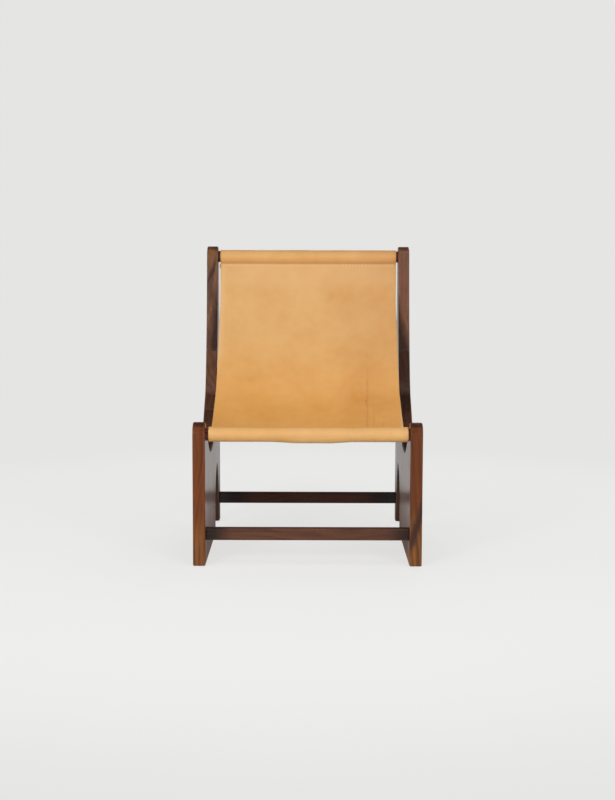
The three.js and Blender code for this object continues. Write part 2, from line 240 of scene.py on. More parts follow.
figureSettings = {
    "wanderSize": 0.12,
    "wander": 0.11,
    "waverSize": 0.05,
    "waver": 0.03,
    "earlyWood": (0.0, 0.3),
    "lateWood": (0.2, 0.98),
    "cloudSize": 0.034,
    "cloud": (0.32, 0.68),
    "streakSize": 0.0075,
    "streak": 1.3,
    "fibreSize": 0.0014,
    "fibre": 0.36,
    "poreSize": 0.0007,
    "pore": (0.62, 0.72),
    "poreShade": 0.6,
    "endShade": 0.85,
    "shade": (0.42, 0.38, 0.38, 1.0),
}


def makeWalnutGroup(settings):
    group, start, end = newGroup("walnutFigure", {
        "Vector": "vector",
        "End Grain": "value",
        "Ring Width": "value",
        "Ring Strength": "value",
        "Light": "colour",
        "Middle": "colour",
        "Dark": "colour",
    }, {"Color": "colour", "Pores": "value", "Fibre": "value"})
    vector = start["Vector"]
    wander = noiseNode(group, vector, settings["wanderSize"], (1, 1, 4), 2.0)
    waver = noiseNode(group, vector, settings["waverSize"], (1, 1, 6), 2.0)
    parts = splitVector(group, vector)
    across = timesPlus(group, wander, settings["wander"], parts["X"])
    inward = timesPlus(group, waver, settings["waver"], parts["Y"])
    radius = mathNode(group, "SQRT", timesPlus(group, inward, inward, times(group, across, across)))
    ring = mathNode(group, "FRACT", mathNode(group, "DIVIDE", radius, start["Ring Width"]))
    early = softStep(group, ring, *settings["earlyWood"])
    late = softStep(group, ring, *settings["lateWood"])
    ringTone = minus(group, mathNode(group, "ADD", late, 1.0), early)
    cloud = noiseNode(group, vector, settings["cloudSize"], (1, 1, 9), 3.0)
    streak = noiseNode(group, vector, settings["streakSize"], (1, 1, 26), 3.0)
    fibre = noiseNode(group, vector, settings["fibreSize"], (1, 1, 40), 2.0)
    tone = times(group, ringTone, start["Ring Strength"])
    tone = timesPlus(group, minus(group, streak, 0.5), settings["streak"], tone)
    base = mixColour(group, softStep(group, cloud, *settings["cloud"]), start["Light"], start["Middle"])
    base = mixColour(group, softStep(group, tone, 0.0, 1.0), base, start["Dark"])
    lift = timesPlus(group, fibre, settings["fibre"], 1 - settings["fibre"] / 2)
    lines = mixColour(group, 1.0, base, lift, "MULTIPLY")
    pores = noiseNode(group, vector, settings["poreSize"], (1, 1, 12), 1.0)
    pores = times(group, softStep(group, pores, *settings["pore"]), timesPlus(group, ring, -0.5, 1.0))
    sunk = mathNode(group, "MAXIMUM", times(group, pores, settings["poreShade"]),
                    times(group, start["End Grain"], settings["endShade"]))
    deep = mixColour(group, 1.0, lines, settings["shade"], "MULTIPLY")
    feed(group, end, {"Color": mixColour(group, sunk, lines, deep), "Pores": pores, "Fibre": fibre})
    return group


wearSettings = {"patchSize": 0.035, "patch": (0.35, 0.7)}


# Rounded edges that hands and cloth have polished a little paler
def makeWearGroup(settings):
    group, start, end = newGroup("edgeWear", {
        "Vector": "vector",
        "Edge": "value",
        "Color": "colour",
        "Worn": "colour",
        "Amount": "value",
    }, {"Color": "colour"})
    patches = noiseNode(group, start["Vector"], settings["patchSize"], (1, 1, 2), 4.0)
    patches = softStep(group, patches, *settings["patch"])
    wear = times(group, times(group, patches, start["Edge"]), start["Amount"])
    feed(group, end, {"Color": mixColour(group, wear, start["Color"], start["Worn"])})
    return group


walnutGroup = makeWalnutGroup(figureSettings)
wearGroup = makeWearGroup(wearSettings)

walnutSettings = {
    "light": "7c4b29",
    "middle": "67381a",
    "dark": "472412",
    "worn": "8b5a36",
    "roughness": 0.29,
    "specular": 0.27,
    "wear": 0.3,
    "ringWidth": 0.017,
    "ringStrength": 0.45,
    "endGrain": (0.5, 0.85),
    "patches": (),
    "patchMiddle": 0.82,
    "wobbleSize": 0.03,
    "wobble": 0.02,
    # Painted shade under the arch of each side: where it lies, which faces it darkens, and how dark
    "archPlace": (("Y", 0.088, 0.094), ("Y", 0.333, 0.327), ("Z", 0.26, 0.22)),
    "archFacing": (0.8, 0.3),
    "archShade": (0.25, 0.23, 0.2, 1.0),
    "smearSize": 0.06,
    "smear": 0.12,
    "poreRoughness": 0.2,
    "endRoughness": 0.25,
    "scuffed": 0.32,
    "scuffHeight": (0.22, 0.01),
    "rawTop": 0.0,
    "topFacing": (0.5, 0.9),
    "fibreHeight": 0.25,
    "poreDepth": 0.00005,
}


# place moves the heart of the tree, and turn tips the grain, board by board.
# Each patch is a broad band or half of a board in its own colour, or painted shade at the
# ends of a stretcher: the direction across it, how far along that it starts, half its width
# (0 for a half), softness and colour.
def makeWalnut(name, place, turn=(0, 0, 0), changes=None):
    settings = {**walnutSettings, **(changes or {})}
    material, tree, shader = newMaterial(name, settings["roughness"], settings["specular"])
    coordinates = addNode(tree, "ShaderNodeTexCoord").outputs
    here = coordinates["Object"]
    angles = Euler([math.radians(angle) for angle in turn])
    vector = addNode(tree, "ShaderNodeMapping", None, {
        "Vector": here, "Location": place, "Rotation": angles}).outputs[0]
    grain = angles.to_matrix().inverted() @ Vector((0, 0, 1))
    slope = mathNode(tree, "ABSOLUTE", dotProduct(tree, coordinates["Normal"], grain))
    endGrain = softStep(tree, slope, *settings["endGrain"])
    light, middle, dark = (hexColour(settings[tone]) for tone in ("light", "middle", "dark"))
    wobble = noiseNode(tree, here, settings["wobbleSize"], (1, 1, 3), 3.0)
    for direction, offset, reach, softness, tint in settings["patches"]:
        shift = timesPlus(tree, wobble, settings["wobble"], -offset - settings["wobble"] / 2)
        off = mathNode(tree, "ADD", dotProduct(tree, here, direction), shift)
        if reach:
            off = minus(tree, reach, mathNode(tree, "ABSOLUTE", off))
        share = softStep(tree, off, -softness, softness)
        light = mixColour(tree, share, light, hexColour(tint))
        middle = mixColour(tree, share, middle, shaded(hexColour(tint), settings["patchMiddle"]))
    figure = useGroup(tree, walnutGroup, {
        "Vector": vector,
        "End Grain": endGrain,
        "Ring Width": settings["ringWidth"],
        "Ring Strength": settings["ringStrength"],
        "Light": light,
        "Middle": middle,
        "Dark": dark,
    })
    parts = splitVector(tree, here)
    facing = splitVector(tree, coordinates["Normal"])
    # Painted shade: faces under the arch that look along the chair are darkened as though in shadow, and get
    # no edge wear
    places = [(parts[axis], *reach) for axis, *reach in settings["archPlace"]]
    sideways = mathNode(tree, "ABSOLUTE", facing["X"])
    archShadeMask = softSteps(tree, (sideways, *settings["archFacing"]), *places)
    shadedArch = mixColour(tree, 1.0, figure["Color"], settings["archShade"], "MULTIPLY")
    wood = mixColour(tree, archShadeMask, figure["Color"], shadedArch)
    worn = useGroup(tree, wearGroup, {
        "Vector": here,
        "Edge": attribute(tree, "roundedEdge"),
        "Color": wood,
        "Worn": hexColour(settings["worn"]),
        "Amount": times(tree, minus(tree, 1.0, archShadeMask), settings["wear"]),
    })
    smear = noiseNode(tree, vector, settings["smearSize"], (1, 1, 3), 3.0)
    rough = timesPlus(tree, smear, settings["smear"], settings["roughness"] - settings["smear"] / 2)
    rough = timesPlus(tree, figure["Pores"], settings["poreRoughness"], rough)
    rough = timesPlus(tree, endGrain, settings["endRoughness"], rough)
    low = softStep(tree, parts["Z"], *settings["scuffHeight"])
    rough = timesPlus(tree, low, settings["scuffed"], rough)
    top = softStep(tree, facing["Z"], *settings["topFacing"])
    rough = timesPlus(tree, top, settings["rawTop"], rough)
    height = timesPlus(tree, figure["Fibre"], settings["fibreHeight"], times(tree, figure["Pores"], -1.0))
    feed(tree, shader, {
        "Base Color": worn["Color"],
        "Roughness": rough,
        "Normal": bumpNode(tree, height, settings["poreDepth"]),
    })
    return material


# Short ways to make and finish meshes

def addMesh(name, bm, material, sharpDegrees=30.0):
    for face in bm.faces:
        face.smooth = True
    for edge in bm.edges:
        flat = edge.calc_face_angle(0.0) if len(edge.link_faces) == 2 else 0.0
        edge.smooth = flat < math.radians(sharpDegrees)
    mesh = bpy.data.meshes.new(name)
    bm.to_mesh(mesh)
    bm.free()
    mesh.materials.append(material)
    piece = bpy.data.objects.new(name, mesh)
    scene.collection.objects.link(piece)
    return piece


# Flat faces stay flat beside their rounded edges
def steadyNormals(piece):
    modifier = piece.modifiers.new("steady normals", "WEIGHTED_NORMAL")
    modifier.keep_sharp = True
    modifier.weight = 90


def fit(piece, node):
    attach(piece, "root")
    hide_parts(node)


def bevelled(bm, edges, width, segments):
    layer = bm.faces.layers.float.get("roundedEdge") or bm.faces.layers.float.new("roundedEdge")
    result = bmesh.ops.bevel(
        bm, geom=edges, offset=width * mm, offset_type="OFFSET", segments=segments,
        profile=0.5, affect="EDGES", material=-1, clamp_overlap=True)
    for face in result["faces"]:
        face[layer] = 1.0


# A round bar along X, from one place across the chair to another
def roundBar(bm, start, end, radius, at, sides=48):
    turn = Matrix.Rotation(quarter, 4, "Y")
    middle = inChair((start + end) / 2, *at)
    bmesh.ops.create_cone(
        bm, cap_ends=True, segments=sides, radius1=radius * mm, radius2=radius * mm,
        depth=abs(end - start) * mm, matrix=Matrix.Translation(middle) @ turn)


def block(bm, start, end, depth, height, at):
    size = Matrix.Diagonal((abs(end - start) * mm, depth * mm, height * mm, 1))
    middle = Matrix.Translation(inChair((start + end) / 2, *at))
    bmesh.ops.create_cube(bm, size=1.0, matrix=middle @ size)


# The edges round both ends of a shape that runs across the chair
def rimEdges(bm):
    return [edge for edge in bm.edges if abs(edge.verts[0].co.x - edge.verts[1].co.x) < mm]


# Cut holes in a piece with the shapes in a second mesh, which is then thrown away
def bore(piece, cutterMesh):
    mesh = bpy.data.meshes.new("cutter")
    cutterMesh.to_mesh(mesh)
    cutterMesh.free()
    cutter = bpy.data.objects.new("cutter", mesh)
    scene.collection.objects.link(cutter)
    modifier = piece.modifiers.new("bore", "BOOLEAN")
    modifier.operation = "DIFFERENCE"
    modifier.solver = "EXACT"
    modifier.object = cutter
    bpy.context.view_layer.update()
    shown = piece.evaluated_get(bpy.context.evaluated_depsgraph_get())
    cut = bpy.data.meshes.new_from_object(shown)
    piece.modifiers.clear()
    old = piece.data
    piece.data = cut
    cut.name = piece.name
    bpy.data.meshes.remove(old)
    bpy.data.objects.remove(cutter)
    bpy.data.meshes.remove(mesh)


def alongAngle(angle, length):
    return Vector((math.cos(angle), math.sin(angle))) * length


def curvePoints(first, firstHandle, lastHandle, last, steps):
    points = []
    for step in range(1, steps + 1):
        t = step / steps
        u = 1 - t
        points.append(first * u ** 3 + firstHandle * (3 * u * u * t)
                      + lastHandle * (3 * u * t * t) + last * t ** 3)
    return points


def arcPoints(centre, radius, start, end, steps):
    turn = (end - start) / steps
    return [centre + alongAngle(start + turn * step, radius) for step in range(steps + 1)]


# Sides

sideSettings = {
    "floorGap": 2.0,
    "frontNose": 34.0,
    "backNose": 32.0,
    "rampAngle": 35.0,
    "rampHandle": 115.0,
    "valley": (280.0, 285.0),
    "valleyHandles": (95.0, 115.0),
    "knee": (495.0, 426.0),
    "kneeAngle": 36.5,
    "kneeHandles": (150.0, 60.0),
    "postLean": 6.0,
    "postHandle": 195.0,
    "baseLength": 443.0,
    "archSpring": (110.0, 45.0),
    "archPeak": (90.0, 210.0),
    "archPeakHandle": 35.0,
    "footDepth": 34.0,
    "footLean": 27.7,
    "footHandle": 90.0,
    "roundOver": 4.0,
    "roundSegments": 4,
    "curveSteps": 40,
    "noseSteps": 24,
    "boards": 6,
    "backBoardWidth": 120.0,
    "glueLine": 0.02,
    "boredBoards": (1, 4, 6),
}


def sideOutline(settings):
    steps = settings["curveSteps"]
    floor = settings["floorGap"]
    base = settings["baseLength"]
    foot = chairDepth - settings["footDepth"]
    ramp = math.radians(settings["rampAngle"])
    postLean = math.radians(settings["postLean"])
    kneeAngle = math.radians(settings["kneeAngle"])
    valley = Vector(settings["valley"])
    knee = Vector(settings["knee"])
    beforeValley, afterValley = settings["valleyHandles"]
    beforeKnee, afterKnee = settings["kneeHandles"]
    springHeight, springHandle = settings["archSpring"]
    peak = Vector((base + settings["archPeak"][0], settings["archPeak"][1]))
    level = Vector((1, 0))

    points = [Vector((0, floor))]
    points += arcPoints(frontRod, settings["frontNose"], math.pi, quarter - ramp, settings["noseSteps"])
    rampHandle = points[-1] + alongAngle(-ramp, settings["rampHandle"])
    points += curvePoints(points[-1], rampHandle, valley - level * beforeValley, valley, steps)
    kneeHandle = knee - alongAngle(kneeAngle, beforeKnee)
    points += curvePoints(valley, valley + level * afterValley, kneeHandle, knee, steps)
    postTop = backRod + alongAngle(math.pi - postLean, settings["backNose"])
    postHandle = postTop - alongAngle(quarter - postLean, settings["postHandle"])
    points += curvePoints(knee, knee + alongAngle(kneeAngle, afterKnee), postHandle, postTop, steps)
    cap = arcPoints(backRod, settings["backNose"], math.pi - postLean, 0.0, settings["noseSteps"])
    points += cap[1:]
    points += [Vector((chairDepth, floor)), Vector((foot, floor))]
    footLean = quarter + math.radians(settings["footLean"])
    footHandle = points[-1] + alongAngle(footLean, settings["footHandle"])
    peakHandle = level * settings["archPeakHandle"]
    points += curvePoints(points[-1], footHandle, peak + peakHandle, peak, steps)
    spring = Vector((base, springHeight))
    points += curvePoints(peak, peak - peakHandle, spring + Vector((0, springHandle)), spring, steps)
    points.append(Vector((base, floor)))
    return points


# The whole side in one piece: its outline, made thick and rounded over
def sidePanel(side, settings):
    bm = bmesh.new()
    near = sideInner if side > 0 else -sideOuter
    outline = [bm.verts.new(inChair(near, *point)) for point in sideOutline(settings)]
    face = bm.faces.new(outline)
    grown = bmesh.ops.extrude_face_region(bm, geom=[face])
    moved = [item for item in grown["geom"] if isinstance(item, bmesh.types.BMVert)]
    bmesh.ops.translate(bm, vec=((sideOuter - sideInner) * mm, 0, 0), verts=moved)
    bmesh.ops.recalc_face_normals(bm, faces=bm.faces)
    bevelled(bm, rimEdges(bm), settings["roundOver"], settings["roundSegments"])
    return bm


def sawnBoard(panel, low, high):
    board = panel.copy()
    for place, facing in ((low, -1), (high, 1)):
        if place is None:
            continue
        cut = bmesh.ops.bisect_plane(
            board, geom=board.verts[:] + board.edges[:] + board.faces[:], dist=1e-6,
            plane_co=inChair(0, place, 0), plane_no=(0, facing, 0), clear_outer=True)
        rim = [item for item in cut["geom_cut"] if isinstance(item, bmesh.types.BMEdge)]
        bmesh.ops.edgeloop_fill(board, edges=rim)
    bmesh.ops.recalc_face_normals(board, faces=board.faces)
    return board


jointSettings = {
    "clearance": 0.3,
    "rodRadius": 18.0,
    "rodChamfer": 1.5,
    "socketDepth": 12.0,
    "stretcherDepth": 30.0,
    "stretcherHeight": 33.0,
    "stretcherRound": 3.0,
    "tenonShoulder": 4.0,
    "boltHoleRadius": 4.3,
    "plugRadius": 10.0,
    "plugDepth": 13.0,
    "plugThickness": 6.7,
    "plugRound": 0.5,
    "insertHoleRadius": 6.3,
    "insertHoleDepth": 28.5,
    "overrun": 1.0,
}


# Sockets, bolt holes and plug recesses of one side
def sideCutter(side, settings):
    bm = bmesh.new()
    gap = settings["clearance"]
    over = settings["overrun"]
    inner = side * (sideInner - over)
    outer = side * (sideOuter + over)
    socket = side * (sideInner + settings["socketDepth"])
    for at in (frontRod, backRod):
        roundBar(bm, inner, socket, settings["rodRadius"] + gap, at, 72)
    trim = 2 * (gap - settings["tenonShoulder"])
    tenonDepth = settings["stretcherDepth"] + trim
    tenonHeight = settings["stretcherHeight"] + trim
    for at in (frontStretcher, backStretcher):
        block(bm, inner, socket, tenonDepth, tenonHeight, at)
    recess = side * (sideOuter - settings["plugDepth"])
    for at in (frontRod, backRod, frontStretcher, backStretcher):
        roundBar(bm, socket - side * over, recess + side * over, settings["boltHoleRadius"], at)
        roundBar(bm, recess, outer, settings["plugRadius"] + gap, at)
    return bm


def makeSides(settings, joints):
    seams = [0.0]
    shared = (chairDepth - settings["backBoardWidth"]) / (settings["boards"] - 1)
    seams += [shared * (index + 1) for index in range(settings["boards"] - 1)]
    half = settings["glueLine"] / 2
    for side, word in ((1, "left"), (-1, "right")):
        panel = sidePanel(side, settings)
        for index, (place, turn, changes) in enumerate(boardGrain[word]):
            low = None if index == 0 else seams[index] + half
            high = None if index + 1 == len(seams) else seams[index + 1] - half
            number = index + 1
            material = makeWalnut(f"walnut {word} {number}", place, turn, changes)
            piece = addMesh(f"{word}_board_{number}", sawnBoard(panel, low, high), material)
            if number in settings["boredBoards"]:
                bore(piece, sideCutter(side, joints))
            steadyNormals(piece)
            fit(piece, f"{word}_side_board_{number}")
        panel.free()


# Where the heart of the tree lies from each board, in metres, and how its grain leans
boardGrain = {
    "left": [
        ((0.25, 0.42, 0.3), (0, 2, 0), {
            "light": "733c16", "middle": "653211", "dark": "431f0e",
            "patches": (((0, -1.2, -1), 0.268, 0, 0.03, "905b2c"),
                        ((0.939, 1.0, -0.343), -0.0936, 0.0125, 0.009, "44271c"))}),
        ((0.31, 0.18, 1.7), (0, -1, 0), {"light": "704225", "middle": "5b331a"}),
        ((0.22, 0.12, 2.9), (1, 0, 0), {}),
        ((0.38, -0.02, 4.1), (0, 1, 0), {"light": "6d4125", "middle": "56311b"}),
        ((0.20, -0.16, 5.2), (2, 0, 0), {"light": "533424", "middle": "482b1d", "dark": "351d14"}),
        ((0.28, -0.30, 6.6), (-1, 2, 0), {
            "light": "80563e", "middle": "764d3b", "dark": "40271d", "ringStrength": 0.25,
            "patches": (((-0.959, -1.2, 0.016), -0.5638, 0, 0.012, "483128"),)}),
    ],
    "right": [
        ((0.40, 0.35, 7.3), (0, -2, 0), {
            "light": "753c13", "middle": "65310f", "dark": "441e0a",
            "patches": (((0.12, -1.0, -0.99), 0.195, 0, 0.05, "885427"),)}),
        ((0.37, 0.10, 8.8), (1, 1, 0), {"light": "704225", "middle": "5b331a"}),
        ((0.45, 0.14, 9.4), (0, 0, 0), {}),
        ((0.36, -0.06, 10.1), (-1, 0, 0), {"light": "6d4125", "middle": "56311b"}),
        ((0.48, -0.10, 11.3), (2, 1, 0), {"light": "784f37", "middle": "6d4630", "dark": "44291d"}),
        ((0.39, -0.26, 12.9), (1, 8, 0), {
            "light": "6f4a34", "middle": "62402f", "dark": "41271f", "ringStrength": 0.5,
            "ringWidth": 0.05,
            "patches": (((-0.922, 1.5, 0.19), 0.8457, 0, 0.003, "885b34"),
                        ((-0.922, 1.5, 0.19), 0.8367, 0.0045, 0.003, "462b1d"),
                        ((-0.984, 0.8, 0.018), 0.5171, 0.004, 0.004, "7f5a3f"),
                        ((0.995, -0.8, 0.084), -0.4337, 0, 0.004, "472e28"))}),
    ],
}
makeSides(sideSettings, jointSettings)
print("sides made")


# Rods and stretchers

def makeRods(settings):
    for word, at, place in (("front", frontRod, (0.05, 0.3, 0.2)), ("back", backRod, (0.07, -0.2, 0.9))):
        bm = bmesh.new()
        end = sideInner + settings["socketDepth"] - settings["clearance"]
        roundBar(bm, -end, end, settings["rodRadius"], at, 96)
        bevelled(bm, rimEdges(bm), settings["rodChamfer"], 2)
        material = makeWalnut(f"walnut {word} rod", place, (0, 90, 0), rodChanges)
        piece = addMesh(f"{word}_walnut_rod", bm, material)
        bore(piece, insertCutter(at, end, settings))
        steadyNormals(piece)
        fit(piece, f"{word}_rod")


def insertCutter(at, end, settings):
    bm = bmesh.new()
    for side in (1, -1):
        bottom = side * (end - settings["insertHoleDepth"])
        roundBar(bm, bottom, side * (end + settings["overrun"]), settings["insertHoleRadius"], at)
    return bm


# A bar with rounded edges, and a stub tenon drawn out of each end
def makeStretchers(settings):
    depth, height = settings["stretcherDepth"], settings["stretcherHeight"]
    shoulder = settings["tenonShoulder"]
    reach = settings["socketDepth"] - settings["clearance"]
    for word, at, place, changes in (
            ("front", frontStretcher, (0.11, 0.30, 0.2), frontStretcherChanges),
            ("back", backStretcher, (0.02, -0.34, 0.9), backStretcherChanges)):
        bm = bmesh.new()
        block(bm, -sideInner, sideInner, depth, height, at)
        ends = [face for face in bm.faces if abs(face.normal.x) > 0.5]
        for face in ends:
            outward = math.copysign(1, face.normal.x)
            bmesh.ops.inset_region(bm, faces=[face], thickness=shoulder * mm, use_even_offset=True)
            stub = bmesh.ops.extrude_discrete_faces(bm, faces=[face])["faces"][0]
            bmesh.ops.translate(bm, vec=(outward * reach * mm, 0, 0), verts=stub.verts[:])
        long = [edge for edge in bm.edges
                if abs(edge.verts[0].co.x - edge.verts[1].co.x) > sideInner * mm]
        bevelled(bm, long, settings["stretcherRound"], 4)
        material = makeWalnut(f"walnut {word} stretcher", place, (0, 90, 0), changes)
        piece = addMesh(f"{word}_walnut_stretcher", bm, material)
        bore(piece, insertCutter(at, sideInner + reach, settings))
        steadyNormals(piece)
        fit(piece, f"{word}_stretcher")


rodChanges = {"light": "6a331d", "middle": "572817", "dark": "39190f", "ringWidth": 0.009}
# Painted shade: the dark patches at both ends of the front stretcher stand for the shadow of the sides
frontStretcherChanges = {
    "light": "663f2c", "middle": "573424", "dark": "341d13",
    "patches": (((1, 0, 0), 0.245, 0, 0.03, "301b12"), ((-1, 0, 0), 0.235, 0, 0.035, "22130c")),
    "rawTop": 0.55,
}
# Painted shade: the dark patches at both ends of the back stretcher stand for the shadow of the sides
backStretcherChanges = {
    "light": "985436", "middle": "80412b", "dark": "55291b",
    "patches": (((1, 0, 0), 0.2, 0, 0.05, "1f110b"), ((-1, 0, 0), 0.2, 0, 0.05, "1f110b")),
    "rawTop": 0.55,
}
makeRods(jointSettings)
makeStretchers(jointSettings)
print("rods and stretchers made")


# Walnut plugs over the bolts, and nylon glides under the feet

def makePlugs(settings):
    places = (("front_rod", frontRod), ("back_rod", backRod),
              ("front_stretcher", frontStretcher), ("back_stretcher", backStretcher))
    for side, word in ((1, "left"), (-1, "right")):
        for number, (joint, at) in enumerate(places):
            bm = bmesh.new()
            inner = side * (sideOuter - settings["plugThickness"])
            roundBar(bm, inner, side * sideOuter, settings["plugRadius"], at, 64)
            bevelled(bm, rimEdges(bm), settings["plugRound"], 3)
            place = (0.2 + 0.07 * number, 0.3 * side, 1.3 * number)
            material = makeWalnut(f"walnut plug {word} {number + 1}", place, (8 * number, 0, 0))
            piece = addMesh(f"{word}_{joint}_walnut_plug", bm, material)
            steadyNormals(piece)
            fit(piece, f"{word}_{joint}_plug")


glideSettings = {
    "radius": 12.0,
    "soleRound": 0.8,
    "height": 1.7,
    "topChamfer": 0.3,
    "stemRadius": 3.0,
    "stemHeight": 12.0,
    "stemChamfer": 1.0,
    "sides": 48,
    "colour": "2a2420",
    "scuffed": 1.6,
    "scuffSize": 0.004,
    "scuffRoughness": 0.3,
    "roughness": 0.55,
}


# Half the outline of a glide, spun round its upright middle
def makeGlides(settings):
    material, tree, shader = newMaterial("moulded nylon", settings["roughness"])
    here = objectPlace(tree)
    scuff = noiseNode(tree, here, settings["scuffSize"], (1, 1, 1), 4.0)
    rougher = settings["scuffRoughness"]
    dark = hexColour(settings["colour"])
    pale = shaded(dark, settings["scuffed"])
    feed(tree, shader, {
        "Base Color": mixColour(tree, softStep(tree, scuff, 0.4, 0.75), dark, pale),
        "Roughness": timesPlus(tree, scuff, rougher, settings["roughness"] - rougher / 2),
    })
    top = settings["height"]
    peak = top + settings["stemHeight"]
    radius, stem, edge = settings["radius"], settings["stemRadius"], settings["soleRound"]
    bevel, point = settings["topChamfer"], settings["stemChamfer"]
    profile = [(0, 0), (radius - edge, 0), (radius - edge * 0.3, edge * 0.3), (radius, edge),
               (radius, top - bevel), (radius - bevel, top), (stem, top),
               (stem, peak - point), (stem - point, peak), (0, peak)]
    for word in ("left", "right"):
        for number in (1, 2, 3):
            node = f"{word}_glide_{number}"
            low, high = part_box(node)
            centre = Vector(((low.x + high.x) / 2, (low.y + high.y) / 2, 0))
            bm = bmesh.new()
            verts = [bm.verts.new(centre + Vector((r, 0, z)) * mm) for r, z in profile]
            edges = [bm.edges.new(pair) for pair in zip(verts, verts[1:])]
            bmesh.ops.spin(
                bm, geom=verts + edges, cent=centre, axis=(0, 0, 1), angle=2 * math.pi,
                steps=settings["sides"], use_merge=True)
            bmesh.ops.remove_doubles(bm, verts=bm.verts, dist=1e-6)
            bmesh.ops.recalc_face_normals(bm, faces=bm.faces)
            piece = addMesh(f"{word}_nylon_glide_{number}", bm, material)
            fit(piece, node)


makePlugs(jointSettings)
makeGlides(glideSettings)
print("plugs and glides made")


# Bolts and inserts stay as they are inside the joints, in zinc plate and brass

metalSettings = {
    "zinc plate": {"colour": "a8a9a6", "dull": "7d7d78", "roughness": 0.32},
    "turned brass": {"colour": "b8924e", "dull": "8a6a36", "roughness": 0.36},
}
tarnishSize = 0.003
toolMarkSize = 0.0004


def makeMetal(name, settings):
    material, tree, shader = newMaterial(name, settings["roughness"], metallic=1.0)
    here = objectPlace(tree)
    cloud = noiseNode(tree, here, tarnishSize, (1, 1, 1), 4.0)
    tool = noiseNode(tree, here, toolMarkSize, (12, 1, 1), 2.0)
    colour = mixColour(tree, softStep(tree, cloud, 0.35, 0.7),
                       hexColour(settings["colour"]), hexColour(settings["dull"]))
    rough = timesPlus(tree, tool, 0.25, settings["roughness"] - 0.1)
    feed(tree, shader, {"Base Color": colour, "Roughness": rough})
    return material


for ending, name in (("_bolt", "zinc plate"), ("_insert", "turned brass")):
    metal = makeMetal(name, metalSettings[name])
    for node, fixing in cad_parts.items():
        if node.endswith(ending):
            fixing.data.materials.clear()
            fixing.data.materials.append(metal)
print("fixings finished")


# Leather sling: one strip that leaves a hem under the seat, wraps the front rod, hangs
# as the seat and the back, wraps the back rod and ends in a hem behind the back

slingSettings = {
    "width": 557.0,  # across the strip as it was cut
    "thickness": 2.6,
    "clearance": 0.3,
    "seam": 26.0,
    "hem": 14.0,
    "hemGap": 0.1,
    "seatDrop": 20.0,
    "seatHandle": 48.0,
    "waist": (371.0, 462.0),
    "waistAngle": 45.0,
    "waistHandles": (80.0, 185.0),
    "backLean": 29.0,
    "backHandle": 205.0,
    "sag": 25.0,
    "sagPeak": 0.34,
    "belly": 3.8,
    "bellyMiddle": 13.0,
    "bellyHalfWidth": 120.0,
    "drift": ((0.0, 2.1), (0.12, -0.5), (0.33, -0.5), (0.5, -0.3), (0.68, 0.2), (0.8, -0.1), (1.0, 0.2)),
    "drawnIn": (
        (0.0, 0.1), (0.16, 0.1), (0.32, -0.8), (0.42, 0.4), (0.6, 0.9), (0.68, 0.8), (0.8, 2.9), (1.0, 0.0)),
    "hemSlide": -2.2,
    "columns": 112,
    "sleeveSteps": 44,
    "denseLength": 20.0,
    "denseStep": 1.4,
    "openStep": 5.4,
    "creaseRound": 2,
    "rimBulge": 0.8,
    "pucker": 0.45,
    "puckerReach": 20.0,
    "puckerSize": (10.0, 70.0),
    "calmReach": 60.0,
    "waves": ((1.1, 130.0, 95.0, 3.1), (0.35, 45.0, 38.0, 8.4)),
    "lumps": (0.35, 38.0, 1.5),
    "edgeRoll": 1.1,
    "edgeRollWidth": 9.0,
    "stitchFromSeam": 7.0,
    "stitchPitch": 10.5,
    "stitchLength": 7.0,
    "stitchRadius": 1.1,
    "stitchFlat": 0.85,
    "stitchLift": 0.1,
    "stitchEdge": 7.0,
    "stitchLean": 0.07,
    "grooveDepth": 0.35,
    "grooveWidth": 2.2,
    "creaseWander": 6.0,
    "creases": (
        ((172.0, 130.0), (186.0, 430.0), 0.5, 7.0),
        ((196.0, 210.0), (205.0, 380.0), 0.35, 5.0),
        ((-120.0, 60.0), (-70.0, 190.0), 0.35, 9.0),
        ((-60.0, 390.0), (40.0, 372.0), 0.3, 10.0),
        ((90.0, 470.0), (150.0, 520.0), 0.3, 9.0),
    ),
}


class HangingCurve:
    # The edge of the sling in the side view, measured along its length
    def __init__(self, settings):
        front = alongAngle(-math.radians(settings["seatDrop"]), 1)
        back = alongAngle(-quarter - math.radians(settings["backLean"]), 1)
        waist = Vector(settings["waist"])
        turn = math.radians(settings["waistAngle"])
        before, after = settings["waistHandles"]
        first = frontRod + front * settings["seam"]
        last = backRod + back * settings["seam"]
        self.points = [first]
        self.points += curvePoints(
            first, first + front * settings["seatHandle"], waist - alongAngle(turn, before), waist, 240)
        self.points += curvePoints(
            waist, waist + alongAngle(turn, after), last + back * settings["backHandle"], last, 240)
        self.reaches = [0.0]
        for one, two in zip(self.points, self.points[1:]):
            self.reaches.append(self.reaches[-1] + (two - one).length)
        self.length = self.reaches[-1]

    def at(self, reach):
        index = 1
        while index < len(self.reaches) - 1 and self.reaches[index] < reach:
            index += 1
        one, two = self.points[index - 1], self.points[index]
        share = (reach - self.reaches[index - 1]) / (self.reaches[index] - self.reaches[index - 1])
        tangent = (two - one).normalized()
        return one.lerp(two, share), Vector((-tangent.y, tangent.x))


def between(table, share):
    for (low, first), (high, second) in zip(table, table[1:]):
        if share <= high:
            step = (share - low) / (high - low)
            return first + (second - first) * step * step * (3 - 2 * step)
    return table[-1][1]


def smooth(value):
    value = min(max(value, 0.0), 1.0)
    return value * value * (3 - 2 * value)


